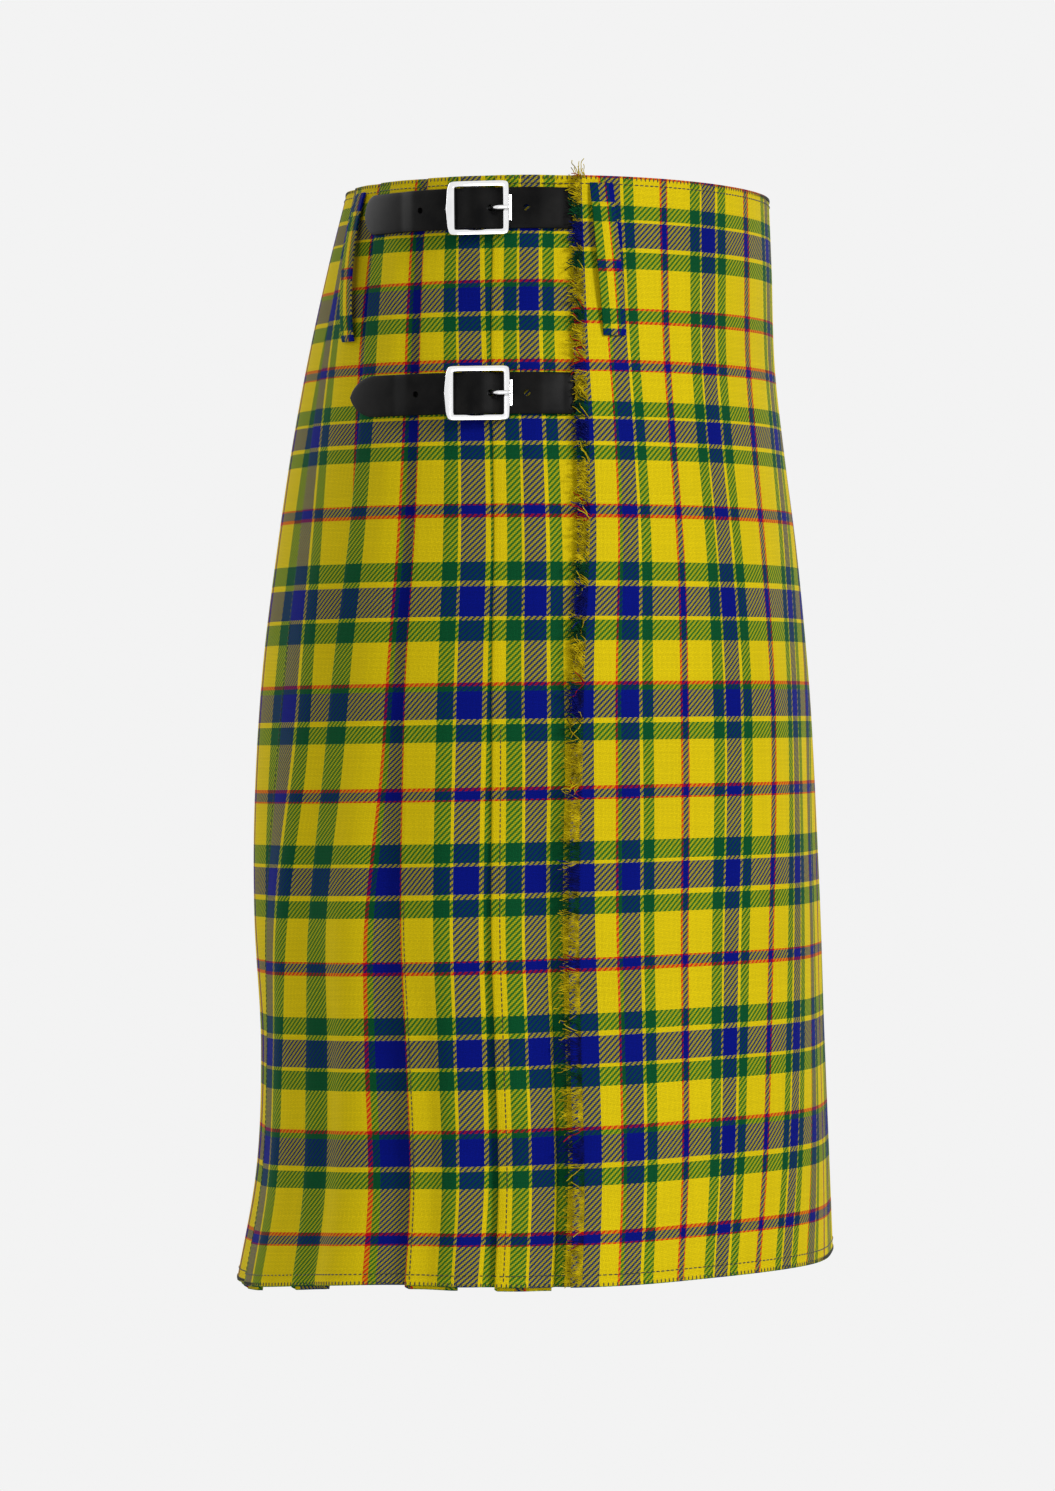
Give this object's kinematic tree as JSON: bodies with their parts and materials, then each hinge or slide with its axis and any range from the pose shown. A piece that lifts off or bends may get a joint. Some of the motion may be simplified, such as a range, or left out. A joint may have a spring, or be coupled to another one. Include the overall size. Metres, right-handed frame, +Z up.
{
  "type": "scottish kilt",
  "caption": "Knee-length wrap kilt in a yellow tartan, worn form: flat fringed front apron, knife-pleated back, leather straps with chrome buckles at the right side, cloth belt loops",
  "frame": {"origin": "centre of the waist edge, where the wearer's waist holds the kilt up", "axes": "+Z up, -Y towards the wearer's front, -X towards the wearer's right"},
  "size_m": [0.405, 0.3355, 0.6144],
  "materials": {
    "tartan": "matt twill cloth, yellow with blue, green and red stripes",
    "fringe": "loose threads of the same cloth",
    "leather": "smooth black leather, soft sheen",
    "chrome": "bright plated"
  },
  "bodies": {
    "root": {"front_apron": "tartan", "under_apron": "tartan", "pleats_right": "tartan", "pleats_left": "tartan", "belt_loop_front_right": "tartan", "belt_loop_rear_right": "tartan", "belt_loop_rear_left": "tartan", "belt_loop_front_left": "tartan", "apron_fringe": "fringe", "strap_upper": "leather", "strap_lower": "leather", "buckle_tab_upper": "leather", "buckle_tab_lower": "leather", "buckle_frame_upper": "chrome", "buckle_frame_lower": "chrome", "buckle_prong_upper": "chrome", "buckle_prong_lower": "chrome"}
  },
  "joints": []
}
